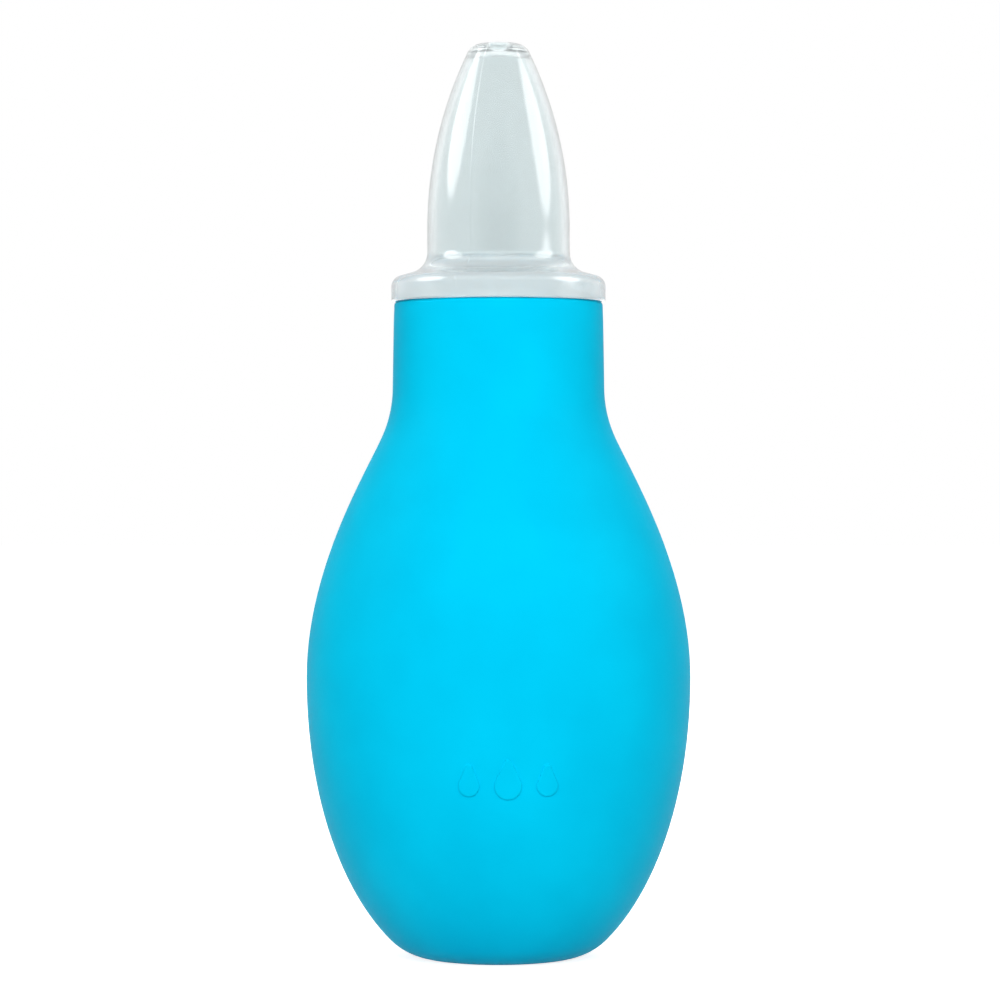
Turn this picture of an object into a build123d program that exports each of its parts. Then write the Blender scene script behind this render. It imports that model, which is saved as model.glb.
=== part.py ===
from build123d import *
from math import cos, isclose, radians, sin, sqrt, tan
import os

# A bulb nasal aspirator: a soft moulded squeeze bulb with a clear rigid nozzle plugged into its neck.
# Millimetres, +Z up along the axis of revolution, origin at the centre of the foot, front at -Y.

# Squeeze bulb, outside
foot_flat_r = 7.7  # flat disc that the bulb stands on
foot_corner_r = 7.5  # round from the foot up into the belly
foot_corner_turn = 45.0  # degrees that this round turns through
belly_r = 23.0
belly_z = 33.5  # height of the widest ring
shoulder_r = 13.8  # where the belly's curve hands over to the hollow round under the neck
shoulder_z = 62.7
shoulder_lean = 23.0  # degrees that the belly leans inwards there
hollow_round = 14.4
neck_top_r = 12.5
rim_z = 78.5
rim_round = 0.4

# Squeeze bulb, inside
wall = 2.2
floor_thickness = 2.6
bore_r = 9.0
bore_foot_z = 67.4  # where the straight bore ends and the cavity opens out
bore_lead_in = 0.6

# Fullness of the belly's curves: how far each end pulls along its own direction
foot_pull = 8.6
belly_pull_down = 13.6
belly_pull_up = 13.3
shoulder_pull = 4.4

# The squeezable walls: round patches of the belly, front and back, that thumb and fingers press
patch_r = 13.0
patch_gap = 0.3

# Clear nozzle
tip_z = 109.5  # overall height
tip_round = 1.0
tube_r = 8.55
tube_wall = 0.9
tube_straight_top_z = 87.4  # above this the tube closes in along one large arc
ogive_r = 48.5
port_r = 1.0  # suction port through the tip
port_length = 1.3
port_lip_round = 0.3
flange_r = 12.85
flange_thickness = 2.85  # at the flange's edge, before its top corner is rounded
flange_top_slope = 16.0  # degrees, falling outwards
flange_edge_round = 0.9
flange_root_round = 1.8  # hollow round between the flange and the tube
flange_under_round = 0.3
plug_length = 11.2
plug_r = 8.68
plug_lead_in = 0.7
sealing_ring_r = 8.92  # a light fit in the bore
sealing_ring_width = 1.4
sealing_ring_depths = (3.0, 7.2)  # of each ring's middle below the rim


def ring_edge(part, radius, height):
    """The circular edge of a turned part with this radius at this height."""
    circles = part.edges().filter_by(GeomType.CIRCLE)
    return circles.filter_by(
        lambda edge: isclose(edge.radius, radius, abs_tol=1e-4)
        and isclose(edge.arc_center.Z, height, abs_tol=1e-4)
    )


def belly_side(inset, floor_z, end_r, end_z):
    """The bulb's side, from the edge of the foot's flat up to where it turns upright at (end_r, end_z).

    Inset moves the foot's corner and the widest ring inwards, for the cavity's side.
    """
    round_r = hollow_round + inset
    lean_x, lean_z = sin(radians(shoulder_lean)), cos(radians(shoulder_lean))
    shoulder = (end_r + round_r * (1 - lean_z), end_z - round_r * lean_x)
    foot_x, foot_z = cos(radians(foot_corner_turn)), sin(radians(foot_corner_turn))
    corner = JernArc((foot_flat_r, floor_z), (1, 0), foot_corner_r - inset, foot_corner_turn)
    corner_end = corner @ 1
    widest = (belly_r - inset, belly_z)
    Bezier(
        corner_end,
        (corner_end.X + foot_pull * foot_x, corner_end.Y + foot_pull * foot_z),
        (widest[0], widest[1] - belly_pull_down),
        widest,
    )
    Bezier(
        widest,
        (widest[0], widest[1] + belly_pull_up),
        (shoulder[0] + shoulder_pull * lean_x, shoulder[1] - shoulder_pull * lean_z),
        shoulder,
    )
    return JernArc(shoulder, (-lean_x, lean_z), round_r, -shoulder_lean)


# The whole bulb, as it is moulded
neck_foot_r = shoulder_r - hollow_round * (1 - cos(radians(shoulder_lean)))
neck_foot_z = shoulder_z + hollow_round * sin(radians(shoulder_lean))
with BuildPart() as moulding:
    with BuildSketch(Plane.XZ):
        with BuildLine():
            side = belly_side(0, 0, neck_foot_r, neck_foot_z)
            Polyline(side @ 1, (neck_top_r, rim_z), (0, rim_z), (0, 0), (foot_flat_r, 0))
        make_face()
    revolve(axis=Axis.Z)
    with BuildSketch(Plane.XZ):
        with BuildLine():
            side = belly_side(wall, floor_thickness, bore_r, bore_foot_z)
            Polyline(
                side @ 1,
                (bore_r, rim_z),
                (0, rim_z),
                (0, floor_thickness),
                (foot_flat_r, floor_thickness),
            )
        make_face()
    revolve(axis=Axis.Z, mode=Mode.SUBTRACT)
    fillet(ring_edge(moulding, neck_top_r, rim_z), rim_round)
    chamfer(ring_edge(moulding, bore_r, rim_z), bore_lead_in)

# Planes through the axis at the height of the widest ring, facing the front and the back
front = Plane(origin=(0, 0, belly_z), x_dir=(1, 0, 0), z_dir=(0, -1, 0))
back = Plane(origin=(0, 0, belly_z), x_dir=(-1, 0, 0), z_dir=(0, 1, 0))

# The bulb without its two squeezable walls
with BuildPart() as bulb:
    add(moulding.part)
    for facing in (front, back):
        with BuildSketch(facing):
            Circle(patch_r + patch_gap)
        extrude(amount=2 * belly_r, mode=Mode.SUBTRACT)


def squeeze_wall(facing):
    """The round patch of the belly's wall on the side that the plane faces."""
    with BuildPart() as patch:
        with BuildSketch(facing):
            Circle(patch_r)
        extrude(amount=2 * belly_r)
        add(moulding.part, mode=Mode.INTERSECT)
    return patch


front_squeeze_wall = squeeze_wall(front)
back_squeeze_wall = squeeze_wall(back)


def ogive_radius(height, inset):
    """The tapering tube's radius at a height, outside, or on a surface inset from there."""
    rise = height - tube_straight_top_z
    return tube_r - ogive_r + sqrt((ogive_r - inset) ** 2 - rise**2)


# Clear nozzle: tube, flange and plug in one moulding, cored out from below
plug_foot_z = rim_z - plug_length
flange_top_z = rim_z + flange_thickness
root_z = flange_top_z + (flange_r - tube_r) * tan(radians(flange_top_slope))
tip_edge_r = ogive_radius(tip_z, 0)
core_top_z = tip_z - port_length
core_top_r = ogive_radius(core_top_z, tube_wall)
with BuildPart() as nozzle:
    with BuildSketch(Plane.XZ):
        with BuildLine():
            Polyline((tip_edge_r, tip_z), (0, tip_z), (0, plug_foot_z), (plug_r, plug_foot_z))
            Polyline(
                (plug_r, plug_foot_z),
                (plug_r, rim_z),
                (flange_r, rim_z),
                (flange_r, flange_top_z),
                (tube_r, root_z),
                (tube_r, tube_straight_top_z),
            )
            RadiusArc((tube_r, tube_straight_top_z), (tip_edge_r, tip_z), -ogive_r)
        make_face()
    revolve(axis=Axis.Z)
    chamfer(ring_edge(nozzle, plug_r, plug_foot_z), plug_lead_in)
    fillet(ring_edge(nozzle, flange_r, rim_z), flange_under_round)
    fillet(ring_edge(nozzle, flange_r, flange_top_z), flange_edge_round)
    fillet(ring_edge(nozzle, tube_r, root_z), flange_root_round)
    fillet(ring_edge(nozzle, tip_edge_r, tip_z), tip_round)
    with BuildSketch(Plane.XZ):
        for depth in sealing_ring_depths:
            with Locations((plug_r, rim_z - depth)):
                Ellipse(sealing_ring_r - plug_r, sealing_ring_width / 2)
    revolve(axis=Axis.Z)
    with BuildSketch(Plane.XZ):
        with BuildLine():
            Polyline(
                (core_top_r, core_top_z),
                (0, core_top_z),
                (0, plug_foot_z),
                (tube_r - tube_wall, plug_foot_z),
                (tube_r - tube_wall, tube_straight_top_z),
            )
            RadiusArc(
                (tube_r - tube_wall, tube_straight_top_z),
                (core_top_r, core_top_z),
                tube_wall - ogive_r,
            )
        make_face()
    revolve(axis=Axis.Z, mode=Mode.SUBTRACT)
    fillet(ring_edge(nozzle, core_top_r, core_top_z), tip_round)
    with BuildSketch(Plane.XY.offset(core_top_z)):
        Circle(port_r)
    extrude(amount=port_length, mode=Mode.SUBTRACT)
    fillet(ring_edge(nozzle, port_r, tip_z), port_lip_round)

os.makedirs("parts", exist_ok=True)
bulb.part.label = "bulb"
front_squeeze_wall.part.label = "front_squeeze_wall"
back_squeeze_wall.part.label = "back_squeeze_wall"
nozzle.part.label = "nozzle"
for piece in (bulb, front_squeeze_wall, back_squeeze_wall, nozzle):
    export_step(piece.part, f"parts/{piece.part.label}.step")
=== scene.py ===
import bmesh
import bpy
import math
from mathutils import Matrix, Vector
from mathutils.geometry import interpolate_bezier


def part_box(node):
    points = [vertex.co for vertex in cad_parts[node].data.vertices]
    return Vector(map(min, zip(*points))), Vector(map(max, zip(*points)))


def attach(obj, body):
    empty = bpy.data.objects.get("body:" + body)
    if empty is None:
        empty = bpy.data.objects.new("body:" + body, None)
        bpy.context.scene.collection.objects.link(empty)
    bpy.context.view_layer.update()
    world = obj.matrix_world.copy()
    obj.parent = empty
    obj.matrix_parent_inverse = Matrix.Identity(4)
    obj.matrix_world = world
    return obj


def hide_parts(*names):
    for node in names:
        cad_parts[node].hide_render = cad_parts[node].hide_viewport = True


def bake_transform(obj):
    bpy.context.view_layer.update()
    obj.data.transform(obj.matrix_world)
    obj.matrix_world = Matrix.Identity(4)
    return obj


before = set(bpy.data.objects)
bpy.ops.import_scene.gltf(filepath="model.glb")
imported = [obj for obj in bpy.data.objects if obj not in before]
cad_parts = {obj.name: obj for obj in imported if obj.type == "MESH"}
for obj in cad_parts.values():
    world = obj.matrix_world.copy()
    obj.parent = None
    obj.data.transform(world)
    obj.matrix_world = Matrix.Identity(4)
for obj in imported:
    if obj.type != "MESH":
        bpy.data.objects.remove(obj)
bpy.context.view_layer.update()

mm = 0.001
xAxis, upAxis = Vector((1, 0, 0)), Vector((0, 0, 1))
wallLow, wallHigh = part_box("front_squeeze_wall")
nozzleLow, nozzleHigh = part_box("nozzle")
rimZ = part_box("bulb")[1].z  # the neck's rim, where the flange sits
bellyZ = (wallLow.z + wallHigh.z) / 2  # the widest ring
bellyR = -wallLow.y
tipZ = nozzleHigh.z
flangeR = nozzleHigh.x
plugFootZ = nozzleLow.z
mergeDistance = 0.0005 * mm
cutDistance = 0.0001 * mm  # points this near a cutting plane count as on it
nearLine = 0.001 * mm  # the same for the nozzle's parting line
nearRing = 0.01 * mm  # and for a ring of edges


def hexColour(code):
    # sRGB hex to the linear colour that shaders take
    channels = [int(code[i:i + 2], 16) / 255 for i in (1, 3, 5)]
    return [c / 12.92 if c <= 0.04045 else ((c + 0.055) / 1.055) ** 2.4 for c in channels] + [1.0]


def addNode(tree, kind, options={}, inputs={}):
    # an input is a plain value, or another node's output to link from
    node = tree.nodes.new(kind)
    for name, value in options.items():
        setattr(node, name, value)
    for name, value in inputs.items():
        if isinstance(value, bpy.types.NodeSocket):
            tree.links.new(value, node.inputs[name])
        else:
            node.inputs[name].default_value = value
    return node


def newMaterial(name):
    material = bpy.data.materials.new(name)
    material.use_nodes = True
    material.node_tree.nodes.clear()
    return material, material.node_tree


def arcRun(centre, radius, startAngle, endAngle, steps):
    # points round an arc in the XZ plane, angles in degrees from +X towards +Z
    turns = [startAngle + (endAngle - startAngle) * i / steps for i in range(steps + 1)]
    angles = [math.radians(turn) for turn in turns]
    return [centre + radius * Vector((math.cos(a), 0, math.sin(a))) for a in angles]


def spinOutline(outline, turn, steps, closed):
    # turns a half section, drawn in the XZ plane, about the upright axis
    bm = bmesh.new()
    verts = [bm.verts.new(point) for point in outline]
    pairs = list(zip(verts, verts[1:])) + ([(verts[-1], verts[0])] if closed else [])
    edges = [bm.edges.new(pair) for pair in pairs]
    bmesh.ops.spin(bm, geom=verts + edges, cent=(0, 0, 0), axis=upAxis, angle=math.radians(turn),
                   steps=steps, use_merge=abs(turn) == 360)
    bmesh.ops.remove_doubles(bm, verts=bm.verts, dist=mergeDistance)
    return bm


def cutThrough(bm, normal):
    # new edges where an upright plane through the axis crosses the mesh
    bmesh.ops.bisect_plane(bm, geom=bm.verts[:] + bm.edges[:] + bm.faces[:], dist=cutDistance,
                           plane_co=(0, 0, 0), plane_no=normal)


def finishPiece(name, bm, material):
    # the mesh becomes an object at the origin, smooth except along the edges marked sharp
    bmesh.ops.recalc_face_normals(bm, faces=bm.faces)
    mesh = bpy.data.meshes.new(name)
    bm.to_mesh(mesh)
    bm.free()
    piece = bpy.data.objects.new(name, mesh)
    bpy.context.scene.collection.objects.link(piece)
    mesh.materials.append(material)
    return piece


# Thermoplastic rubber, injection moulded in a lightly blasted mould: saturated cyan right through,
# with a soft satin bloom instead of a shine, and a fine grain that only breaks up the highlight
rubber = {
    "colour": "#00C4E8",
    "shade": "#00BBE0",  # where the pigment is a little denser
    "patch": 14 * mm,  # size of the pigment's clouds
    "grain": 0.35 * mm,  # the real blast grain is 0.1 mm, drawn coarser so that it shows
    "grainDepth": 0.03 * mm,
    "grainStrength": 0.12,
    "bloom": (0.46, 0.56),  # roughness, as the grain varies it
    "spread": 0.25,  # roughness of the scattered light
    "gloss": 0.02,  # the blasted surface mirrors next to nothing
    "glossTint": "#5FE6FF",
}
noiseRange = (0.3, 0.7)  # where nearly all of a noise pattern's values lie


def mouldedRubber():
    material, tree = newMaterial("mouldedThermoplasticRubber")
    place = addNode(tree, "ShaderNodeTexCoord").outputs["Object"]
    clouds = addNode(tree, "ShaderNodeTexNoise", {}, {
        "Vector": place, "Scale": 1 / rubber["patch"], "Detail": 2, "Roughness": 0.5})
    grain = addNode(tree, "ShaderNodeTexNoise", {}, {
        "Vector": place, "Scale": 1 / rubber["grain"], "Detail": 2, "Roughness": 0.6})
    pigment = addNode(tree, "ShaderNodeValToRGB", {}, {"Fac": clouds.outputs["Fac"]})
    shades = (rubber["shade"], rubber["colour"])
    for stop, position, shade in zip(pigment.color_ramp.elements, noiseRange, shades):
        stop.position, stop.color = position, hexColour(shade)
    bloom = addNode(tree, "ShaderNodeMapRange", {}, {
        "Value": grain.outputs["Fac"], "From Min": noiseRange[0], "From Max": noiseRange[1],
        "To Min": rubber["bloom"][0], "To Max": rubber["bloom"][1]})
    relief = addNode(tree, "ShaderNodeBump", {}, {
        "Height": grain.outputs["Fac"], "Strength": rubber["grainStrength"],
        "Distance": rubber["grainDepth"]})
    shader = addNode(tree, "ShaderNodeBsdfPrincipled", {}, {
        "Base Color": pigment.outputs["Color"], "Roughness": bloom.outputs["Result"], "IOR": 1.5,
        "Diffuse Roughness": rubber["spread"], "Specular IOR Level": rubber["gloss"],
        "Specular Tint": hexColour(rubber["glossTint"]), "Normal": relief.outputs["Normal"]})
    addNode(tree, "ShaderNodeOutputMaterial", {}, {"Surface": shader.outputs["BSDF"]})
    return material


# Clear polypropylene copolymer, injection moulded in a polished mould: a glossy skin over slightly milky
# walls that blur what lies behind, milkier where the flange is thick, with long flow waves that make the
# reflections waver
clearPlastic = {
    "colour": "#ECF5F6",
    "clearness": (0.58, 0.86),  # share of the light that gets through the flange, and the tube's wall
    "clearnessZ": (82.6 * mm, 84.6 * mm),  # where the one hands over to the other
    "haze": (0.14, 0.2),  # roughness, as the waves vary it
    "skinHaze": 0.13,  # roughness of the glossy skin
    "refraction": 1.49,
    "wave": 6 * mm,  # length of the flow waves round the nozzle
    "waveStretch": 0.3,  # the waves run lengthwise: how many go up the nozzle for each one round it
    "waveDepth": 0.1 * mm,
    "waveStrength": 0.15,
}


def mouldedClearPlastic():
    material, tree = newMaterial("mouldedClearPolypropylene")
    place = addNode(tree, "ShaderNodeTexCoord").outputs["Object"]
    along = addNode(tree, "ShaderNodeMapping", {}, {
        "Vector": place, "Scale": (1, 1, clearPlastic["waveStretch"])})
    waves = addNode(tree, "ShaderNodeTexNoise", {}, {
        "Vector": along.outputs["Vector"], "Scale": 1 / clearPlastic["wave"], "Detail": 1, "Roughness": 0.4})
    haze = addNode(tree, "ShaderNodeMapRange", {}, {
        "Value": waves.outputs["Fac"], "From Min": noiseRange[0], "From Max": noiseRange[1],
        "To Min": clearPlastic["haze"][0], "To Max": clearPlastic["haze"][1]})
    relief = addNode(tree, "ShaderNodeBump", {}, {
        "Height": waves.outputs["Fac"], "Strength": clearPlastic["waveStrength"],
        "Distance": clearPlastic["waveDepth"]})
    height = addNode(tree, "ShaderNodeSeparateXYZ", {}, {"Vector": place}).outputs["Z"]
    through = addNode(tree, "ShaderNodeMapRange", {"interpolation_type": "SMOOTHSTEP"}, {
        "Value": height,
        "From Min": clearPlastic["clearnessZ"][0], "From Max": clearPlastic["clearnessZ"][1],
        "To Min": clearPlastic["clearness"][0], "To Max": clearPlastic["clearness"][1]})
    shader = addNode(tree, "ShaderNodeBsdfPrincipled", {}, {
        "Base Color": hexColour(clearPlastic["colour"]), "Roughness": haze.outputs["Result"],
        "IOR": clearPlastic["refraction"], "Transmission Weight": through.outputs["Result"],
        "Coat Weight": 1.0, "Coat Roughness": clearPlastic["skinHaze"],
        "Coat IOR": clearPlastic["refraction"],
        "Normal": relief.outputs["Normal"], "Coat Normal": relief.outputs["Normal"]})
    addNode(tree, "ShaderNodeOutputMaterial", {}, {"Surface": shader.outputs["BSDF"]})
    return material


rubberMaterial = mouldedRubber()
plasticMaterial = mouldedClearPlastic()
print("materials made")

# Nozzle: tube, flange and plug in one piece, cored out from below
nozzle = {
    "tubeR": 8.55 * mm,
    "wall": 0.9 * mm,
    "straightTopZ": 87.4 * mm,  # above this the tube closes in along one large arc
    "ogiveR": 48.5 * mm,
    "tipRound": 1.0 * mm,
    "portR": 1.0 * mm,
    "portLength": 1.3 * mm,
    "portLip": 0.3 * mm,
    "flangeThickness": 2.85 * mm,
    "flangeSlope": 16,  # degrees
    "flangeEdgeRound": 0.9 * mm,
    "flangeRootRound": 1.8 * mm,
    "flangeUnderRound": 0.3 * mm,
    "plugR": 8.68 * mm,
    "plugLeadIn": 0.7 * mm,
    "ringR": 8.92 * mm,
    "ringWidth": 1.4 * mm,
    "ringDepths": (3.0 * mm, 7.2 * mm),  # of each ring's middle below the rim
    "ringAngles": (-90, -45, 0, 45, 90),  # points round each ring's half oval
    "steps": 160,  # round the axis
    "outsideSteps": 24,  # up the tapering side
    "insideSteps": 22,
    "sharpAngle": 35,  # degrees: edges that turn more than this stay sharp
    "partingTurn": 247,  # degrees round from +X of the mould's parting line, and its twin opposite
    "partingHeight": 0.06 * mm,
    "partingHalfWidth": 0.9,  # degrees
}


def ogiveRun(inset, topZ, steps):
    # the tapering side, from the top of the straight tube up to topZ
    radius = nozzle["ogiveR"] - inset
    centre = Vector((nozzle["tubeR"] - nozzle["ogiveR"], 0, nozzle["straightTopZ"]))
    return arcRun(centre, radius, 0, math.degrees(math.asin((topZ - centre.z) / radius)), steps)


def roundRing(bm, radius, height, size, segments):
    # rounds or fills the sharp ring of edges with this radius at this height
    ring = [edge for edge in bm.edges if all(
        abs(vert.co.z - height) < nearRing and abs(vert.co.xy.length - radius) < nearRing
        for vert in edge.verts)]
    bmesh.ops.bevel(bm, geom=ring, offset=size, offset_type="OFFSET", affect="EDGES", segments=segments,
                    profile=0.5, material=-1)


def makeNozzle():
    plugR, tubeR, coreR = nozzle["plugR"], nozzle["tubeR"], nozzle["tubeR"] - nozzle["wall"]
    flangeTopZ = rimZ + nozzle["flangeThickness"]
    rootZ = flangeTopZ + (flangeR - tubeR) * math.tan(math.radians(nozzle["flangeSlope"]))
    coreTopZ = tipZ - nozzle["portLength"]
    outside = ogiveRun(0, tipZ, nozzle["outsideSteps"])
    inside = ogiveRun(nozzle["wall"], coreTopZ, nozzle["insideSteps"])
    plugSide = [Vector((plugR, 0, plugFootZ))]
    for depth in sorted(nozzle["ringDepths"], reverse=True):
        for turn in nozzle["ringAngles"]:
            swell = (nozzle["ringR"] - plugR) * math.cos(math.radians(turn))
            rise = nozzle["ringWidth"] / 2 * math.sin(math.radians(turn))
            plugSide.append(Vector((plugR + swell, 0, rimZ - depth + rise)))
    flange = [Vector(point) for point in (
        (plugR, 0, rimZ), (flangeR, 0, rimZ), (flangeR, 0, flangeTopZ), (tubeR, 0, rootZ))]
    port = [Vector((nozzle["portR"], 0, height)) for height in (tipZ, coreTopZ)]
    bm = spinOutline(plugSide + flange + outside + port + inside[::-1] + [Vector((coreR, 0, plugFootZ))],
                     360, nozzle["steps"], True)
    for radius, height, size, segments in (
            (flangeR, rimZ, nozzle["flangeUnderRound"], 3),
            (flangeR, flangeTopZ, nozzle["flangeEdgeRound"], 6),
            (tubeR, rootZ, nozzle["flangeRootRound"], 6),
            (outside[-1].x, tipZ, nozzle["tipRound"], 5),
            (inside[-1].x, coreTopZ, nozzle["tipRound"], 4),
            (plugR, plugFootZ, nozzle["plugLeadIn"] / 2, 2),
            (coreR, plugFootZ, nozzle["portLip"], 2),
            (nozzle["portR"], tipZ, nozzle["portLip"], 3),
            (nozzle["portR"], coreTopZ, nozzle["portLip"], 2)):
        roundRing(bm, radius, height, size, segments)
    # the parting line: a narrow column of faces either side of it, and the line itself raised
    for offset in (-1, 0, 1):
        turn = math.radians(nozzle["partingTurn"] + offset * nozzle["partingHalfWidth"])
        cutThrough(bm, (-math.sin(turn), math.cos(turn), 0))
    turn = math.radians(nozzle["partingTurn"])
    across = Vector((-math.sin(turn), math.cos(turn), 0))
    along = Vector((math.cos(turn), math.sin(turn), 0))
    lineLow, lineHigh = rimZ + nozzle["flangeUnderRound"], tipZ - nozzle["tipRound"] / 2
    for vert in bm.verts:
        rise = max(vert.co.z - nozzle["straightTopZ"], 0)
        skinR = tubeR - nozzle["ogiveR"] + math.sqrt(nozzle["ogiveR"] ** 2 - rise**2)
        onLine = abs(vert.co.dot(across)) < nearLine and lineLow < vert.co.z < lineHigh
        if onLine and vert.co.xy.length > skinR - nozzle["wall"] / 2:
            vert.co += along * math.copysign(nozzle["partingHeight"], vert.co.dot(along))
    for face in bm.faces:
        face.smooth = True
    for edge in bm.edges:
        if edge.is_manifold and edge.calc_face_angle() > math.radians(nozzle["sharpAngle"]):
            edge.smooth = False
    return finishPiece("clearNozzle", bm, plasticMaterial)


# Squeeze bulb: the shell that the frame holds, as one skin without the gaps round its squeezable walls
bulb = {
    "footFlatR": 7.7 * mm,
    "footCornerR": 7.5 * mm,
    "footCornerTurn": 45,  # degrees
    "shoulderR": 13.8 * mm,
    "shoulderZ": 62.7 * mm,
    "shoulderLean": 23,  # degrees
    "hollowRound": 14.4 * mm,
    "neckTopR": 12.5 * mm,
    "rimRound": 0.4 * mm,
    "grip": 0.02 * mm,  # how far the rubber presses against the flange and the plug
    "wall": 2.2 * mm,
    "floor": 2.6 * mm,
    "boreFootZ": 67.4 * mm,
    "boreRound": 0.3 * mm,
    "footPull": 8.6 * mm,  # how far the belly's curves pull along their ends' directions
    "bellyPullDown": 13.6 * mm,
    "bellyPullUp": 13.3 * mm,
    "shoulderPull": 4.4 * mm,
    "steps": 96,  # round half a turn
    "cornerSteps": 8,  # round the foot's corner, and the hollow under the neck
    "bellySteps": (26, 28),  # below and above the widest ring
    "neckSteps": 5,
    "footRings": (0, 0.4, 0.8),  # rings across the foot's flat, as shares of its radius
    "floorRings": (0.6, 0),  # the same across the floor inside
    "rimSteps": (6, 5),  # round the rim's outer and inner edge
    "partingHeight": 0.04 * mm,  # ridge where the mould's halves meet, at the sides
    "partingHalfWidth": 0.6,  # degrees
}


def bulbSide(inset, floorZ, endR, endZ):
    # foot corner, two curves that meet at the widest ring, then the hollow round into the neck
    lean, turn = math.radians(bulb["shoulderLean"]), math.radians(bulb["footCornerTurn"])
    cornerR, hollowR = bulb["footCornerR"] - inset, bulb["hollowRound"] + inset
    cornerCentre = Vector((bulb["footFlatR"], 0, floorZ + cornerR))
    side = arcRun(cornerCentre, cornerR, -90, bulb["footCornerTurn"] - 90, bulb["cornerSteps"])
    belly = Vector((bellyR - inset, 0, bellyZ))
    shoulder = Vector((endR + hollowR * (1 - math.cos(lean)), 0, endZ - hollowR * math.sin(lean)))
    side += interpolate_bezier(
        side[-1], side[-1] + bulb["footPull"] * Vector((math.cos(turn), 0, math.sin(turn))),
        belly - bulb["bellyPullDown"] * upAxis, belly, bulb["bellySteps"][0])[1:]
    side += interpolate_bezier(
        belly, belly + bulb["bellyPullUp"] * upAxis,
        shoulder + bulb["shoulderPull"] * Vector((math.sin(lean), 0, -math.cos(lean))), shoulder,
        bulb["bellySteps"][1])[1:]
    hollowCentre = Vector((endR + hollowR, 0, endZ))
    return side + arcRun(hollowCentre, hollowR, 180 + bulb["shoulderLean"], 180, bulb["cornerSteps"])[1:]


shoulderLean = math.radians(bulb["shoulderLean"])
neckFootR = bulb["shoulderR"] - bulb["hollowRound"] * (1 - math.cos(shoulderLean))
neckFootZ = bulb["shoulderZ"] + bulb["hollowRound"] * math.sin(shoulderLean)
bulbSkin = bulbSide(0, 0, neckFootR, neckFootZ)


def bulbOutline():
    topZ = rimZ + bulb["grip"]
    boreR = nozzle["plugR"] - bulb["grip"]
    outerRim = Vector((bulb["neckTopR"] - bulb["rimRound"], 0, topZ - bulb["rimRound"]))
    boreRim = Vector((boreR + bulb["boreRound"], 0, topZ - bulb["boreRound"]))
    neckTop, neckSteps = outerRim + bulb["rimRound"] * xAxis, bulb["neckSteps"]
    neck = [bulbSkin[-1].lerp(neckTop, i / neckSteps) for i in range(1, neckSteps)]
    rim = arcRun(outerRim, bulb["rimRound"], 0, 90, bulb["rimSteps"][0])
    rim += arcRun(boreRim, bulb["boreRound"], 90, 180, bulb["rimSteps"][1])
    inside = bulbSide(bulb["wall"], bulb["floor"], boreR, bulb["boreFootZ"])
    foot = [Vector((bulb["footFlatR"] * share, 0, 0)) for share in bulb["footRings"]]
    floor = [Vector((bulb["footFlatR"] * share, 0, bulb["floor"])) for share in bulb["floorRings"]]
    return foot + bulbSkin + neck + rim + inside[::-1] + floor


def bulbHalf(name, facing):
    # half of the bulb, facing -1 for the front or 1 for the back, closed along the mould's parting plane
    bm = spinOutline(bulbOutline(), 180 * facing, bulb["steps"], False)
    lean = math.radians(bulb["partingHalfWidth"]) * facing
    for side in (1, -1):
        cutThrough(bm, (side * math.sin(lean), -math.cos(lean), 0))
    for face in bm.faces:
        face.smooth = True
    rims = [edge for edge in bm.edges if edge.is_boundary]
    for edge in rims:
        edge.smooth = False
    for vert in {vert for edge in rims for vert in edge.verts}:
        isOutside = abs(vert.co.x) > nozzle["plugR"] + bulb["wall"]
        if isOutside and vert.co.z < rimZ - bulb["rimRound"]:
            vert.co.x += math.copysign(bulb["partingHeight"], vert.co.x)
    bmesh.ops.triangle_fill(bm, edges=rims, use_beauty=True)
    return finishPiece(name, bm, rubberMaterial)


frontHalf = bulbHalf("bulbFrontHalf", -1)
backHalf = bulbHalf("bulbBackHalf", 1)
print("bulb made")
clearNozzle = makeNozzle()
print("nozzle made")

# Raised mark low on the front: three plain drops
mark = {
    "centreZ": 22.9 * mm,
    "drops": ((-3.4, 1.25), (1.1, 1.6), (5.6, 1.25)),  # place across and radius of the round end, in mm
    "lowering": 0.8 * mm,  # of the round ends' centres below the mark's
    "tipR": 0.45 * mm,
    "tipRise": 1.7,  # from the round end's centre to the tip's, in radii of the round end
    "relief": 0.2 * mm,
    "edgeRound": 0.16 * mm,
    "edgeSteps": 5,
    "topRings": (0.75, 0.55, 0.35, 0.15, 0),  # rings across the flat top, as shares of the radius
    "sunk": 0.3 * mm,
    "steps": 48,
}


def skinRadius(height):
    # the bulb's radius at a height
    for below, above in zip(bulbSkin, bulbSkin[1:]):
        if below.z <= height <= above.z and above.z > below.z:
            return below.lerp(above, (height - below.z) / (above.z - below.z)).x
    return bulbSkin[-1].x


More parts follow.
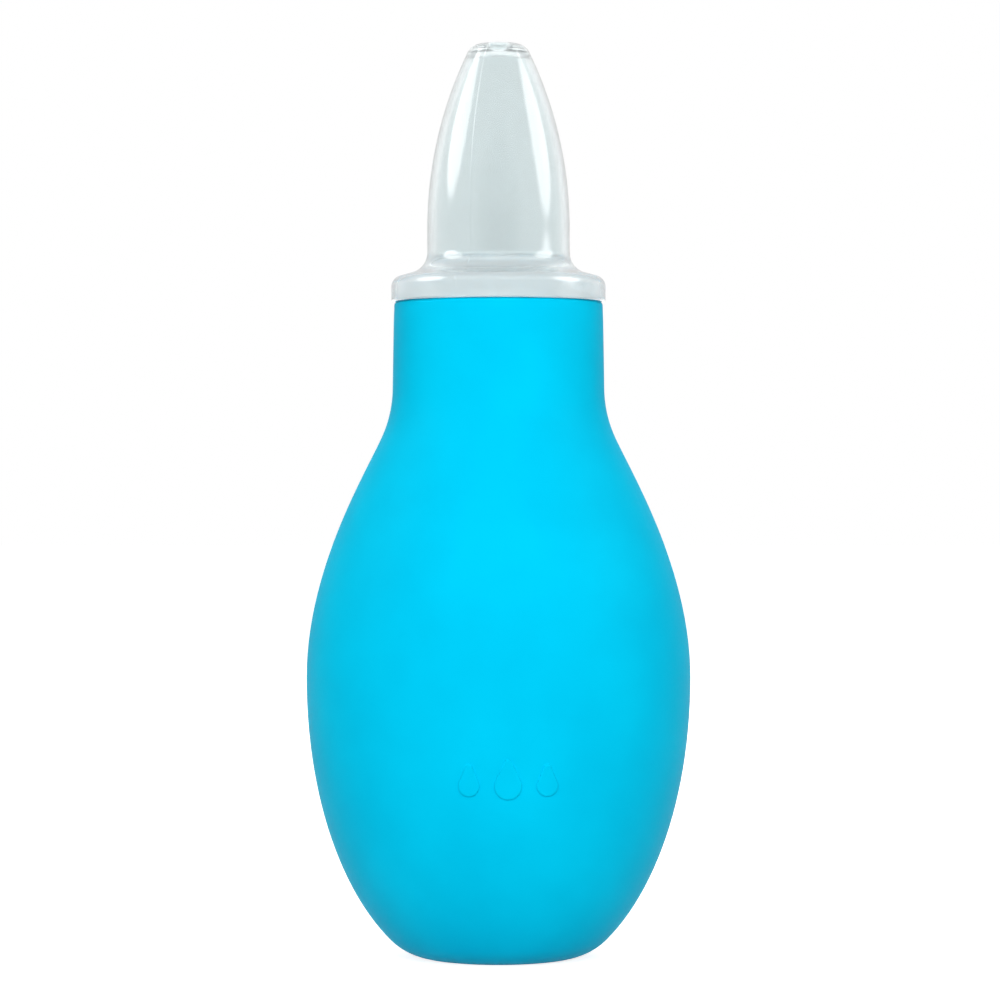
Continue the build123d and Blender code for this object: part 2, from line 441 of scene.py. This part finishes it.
def makeMark():
    relief, rounding = mark["relief"], mark["edgeRound"]
    mesh = bpy.data.meshes.new("frontMark")
    whole = bmesh.new()
    for across, size in mark["drops"]:
        # a low button, then each point moves out to the drop's outline
        dropR = size * mm
        edge = arcRun(Vector((dropR - rounding, 0, relief - rounding)), rounding, 0, 90, mark["edgeSteps"])
        flat = [Vector((dropR * share, 0, relief)) for share in mark["topRings"]]
        foot = [Vector((dropR * share, 0, -mark["sunk"])) for share in (0, 1)]
        bm = spinOutline(foot + edge + flat, 360, mark["steps"], False)
        for vert in bm.verts:
            reach = vert.co.xy.length / dropR
            if reach > 0:
                towards = vert.co.xy.normalized()
                # the outline runs round two circles, and straight between them where they differ
                isTip = towards.y > (dropR - mark["tipR"]) / (mark["tipRise"] * dropR)
                centre = mark["tipRise"] * dropR if isTip else 0
                outline = towards * (mark["tipR"] if isTip else dropR) + Vector((0, centre))
                vert.co.xy = outline * reach
            vert.co.x += across * mm
        bm.to_mesh(mesh)
        bm.free()
        whole.from_mesh(mesh)
    # so far z is the height above the skin; now each point goes out onto the bulb
    for vert in whole.verts:
        height = mark["centreZ"] + vert.co.y - mark["lowering"]
        radius = skinRadius(height) + vert.co.z
        vert.co = Vector((vert.co.x, -math.sqrt(radius**2 - vert.co.x**2), height))
    for face in whole.faces:
        face.smooth = True
    return finishPiece("frontMark", whole, rubberMaterial)


frontMark = makeMark()
print("mark made")


for piece, wallBody, wallY in (
        (frontHalf, "front_wall", -bellyR), (frontMark, "front_wall", -bellyR),
        (backHalf, "back_wall", bellyR)):
    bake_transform(piece)
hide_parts("bulb", "front_squeeze_wall")
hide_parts("bulb", "back_squeeze_wall")
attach(frontHalf, "bulb_body")
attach(frontMark, "bulb_body")
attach(backHalf, "bulb_body")
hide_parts("nozzle")
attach(clearNozzle, "nozzle_body")
print("pieces placed on their bodies")

# Studio: a grey floor kept white by a painted glow, and white walls, greyer in front and behind. A broad
# softbox over the camera and a weaker one behind light the object, and an oval softbox at each side shows as
# a long streak in the clear plastic
studio = {
    "floorSize": 8.0,
    "floorColour": "#C4C4C4",
    "floorGlow": (0.86, 0.97),  # painted glow that keeps the floor as white as the walls, less so round the object so that its real shadow shows
    "floorPool": (0.2, 0.6),  # where the glow changes, from the object outwards
    "surround": 1.0,  # what shows behind the object
    "frontAndBack": 0.73,  # what the clear plastic mirrors or lets through from there
    "sides": 1.35,  # the same from the sides, above and below
    "handOver": (0.7, 1.0),  # how far forwards or backwards a direction points where they change over
    "fill": 0.22,  # what lights the object from all round
    "softboxes": (
        # turn from the front, rise, distance, width, height, power, lights surfaces, shows in reflections
        ("leftSoftbox", -86, 31, 0.60, 0.36, 0.38, 1.25, False, True),
        ("rightSoftbox", 84, 28, 0.60, 0.34, 0.42, 1.25, False, True),
        ("frontSoftbox", 0, 25, 0.75, 0.60, 0.50, 6.2, True, False),
        ("backSoftbox", 180, 40, 0.75, 0.60, 0.50, 4.5, True, False),
    ),
}


def makeStudio():
    bm = bmesh.new()
    bmesh.ops.create_grid(bm, x_segments=1, y_segments=1, size=studio["floorSize"] / 2)
    mesh = bpy.data.meshes.new("floor")
    bm.to_mesh(mesh)
    bm.free()
    floor = bpy.data.objects.new("floor", mesh)
    bpy.context.scene.collection.objects.link(floor)
    material, tree = newMaterial("paintedFloorWithGlow")
    place = addNode(tree, "ShaderNodeTexCoord").outputs["Object"]
    away = addNode(tree, "ShaderNodeVectorMath", {"operation": "LENGTH"}, {0: place})
    pool = addNode(tree, "ShaderNodeMapRange", {"interpolation_type": "SMOOTHSTEP"}, {
        "Value": away.outputs["Value"],
        "From Min": studio["floorPool"][0], "From Max": studio["floorPool"][1],
        "To Min": studio["floorGlow"][0], "To Max": studio["floorGlow"][1]})
    ray = addNode(tree, "ShaderNodeLightPath")
    seen = addNode(tree, "ShaderNodeMix", {}, {
        "Factor": ray.outputs["Is Diffuse Ray"], "A": pool.outputs["Result"], "B": 0})
    paint = addNode(tree, "ShaderNodeBsdfDiffuse", {}, {"Color": hexColour(studio["floorColour"])})
    # painted glow: the floor shines for the camera and in reflections, brighter away from the object, but
    # lights nothing
    glow = addNode(tree, "ShaderNodeEmission", {}, {"Strength": seen.outputs["Result"]})
    both = addNode(tree, "ShaderNodeAddShader", {}, {0: paint.outputs["BSDF"], 1: glow.outputs["Emission"]})
    addNode(tree, "ShaderNodeOutputMaterial", {}, {"Surface": both.outputs["Shader"]})
    mesh.materials.append(material)

    world = bpy.data.worlds.new("studio")
    bpy.context.scene.world = world
    world.use_nodes = True
    tree = world.node_tree
    tree.nodes.clear()
    towards = addNode(tree, "ShaderNodeTexCoord").outputs["Generated"]
    frontness = addNode(tree, "ShaderNodeMath", {"operation": "ABSOLUTE"}, {
        0: addNode(tree, "ShaderNodeSeparateXYZ", {}, {"Vector": towards}).outputs["Y"]})
    walls = addNode(tree, "ShaderNodeMapRange", {"interpolation_type": "SMOOTHSTEP"}, {
        "Value": frontness.outputs["Value"], "From Min": studio["handOver"][0],
        "From Max": studio["handOver"][1], "To Min": studio["sides"], "To Max": studio["frontAndBack"]})
    ray = addNode(tree, "ShaderNodeLightPath")
    strength = studio["fill"]
    for kind, level in (("Glossy", walls.outputs["Result"]), ("Transmission", walls.outputs["Result"]),
                        ("Camera", studio["surround"])):
        strength = addNode(tree, "ShaderNodeMix", {}, {
            "Factor": ray.outputs[f"Is {kind} Ray"], "A": strength, "B": level}).outputs["Result"]
    light = addNode(tree, "ShaderNodeBackground", {}, {"Color": (1, 1, 1, 1), "Strength": strength})
    addNode(tree, "ShaderNodeOutputWorld", {}, {"Surface": light.outputs["Background"]})

    aim = Vector((0, 0, tipZ / 2))
    for name, turn, rise, distance, width, height, power, lights, mirrored in studio["softboxes"]:
        lamp = bpy.data.lights.new(name, "AREA")
        lamp.shape = "ELLIPSE" if mirrored else "RECTANGLE"
        lamp.size, lamp.size_y, lamp.energy = width, height, power
        turn, rise = math.radians(turn), math.radians(rise)
        away = Vector((math.sin(turn) * math.cos(rise), -math.cos(turn) * math.cos(rise), math.sin(rise)))
        holder = bpy.data.objects.new(name, lamp)
        holder.location = aim + distance * away
        holder.rotation_euler = away.to_track_quat("Z", "Y").to_euler()
        holder.visible_diffuse, holder.visible_glossy, holder.visible_transmission = lights, mirrored, False
        bpy.context.scene.collection.objects.link(holder)


# Camera: level, half way up the object, from the front
camera = {
    "distance": 450 * mm,
    "height": 54.8 * mm,
    "across": 0.18 * mm,  # to the right of the object's axis
    "frameWidth": 120 * mm,  # what the frame spans at the object's axis
    "sensorWidth": 36,  # in mm, unlike the lengths above
    "clip": (0.01, 50),
}


def makeCamera():
    lens = bpy.data.cameras.new("camera")
    lens.sensor_width = camera["sensorWidth"]
    lens.lens = lens.sensor_width * camera["distance"] / camera["frameWidth"]
    lens.clip_start, lens.clip_end = camera["clip"]
    holder = bpy.data.objects.new("camera", lens)
    holder.location = (camera["across"], -camera["distance"], camera["height"])
    holder.rotation_euler = (math.pi / 2, 0, 0)
    bpy.context.scene.collection.objects.link(holder)
    bpy.context.scene.camera = holder


makeStudio()
makeCamera()
bpy.context.scene.view_settings.view_transform = "Standard"
print("studio and camera ready")
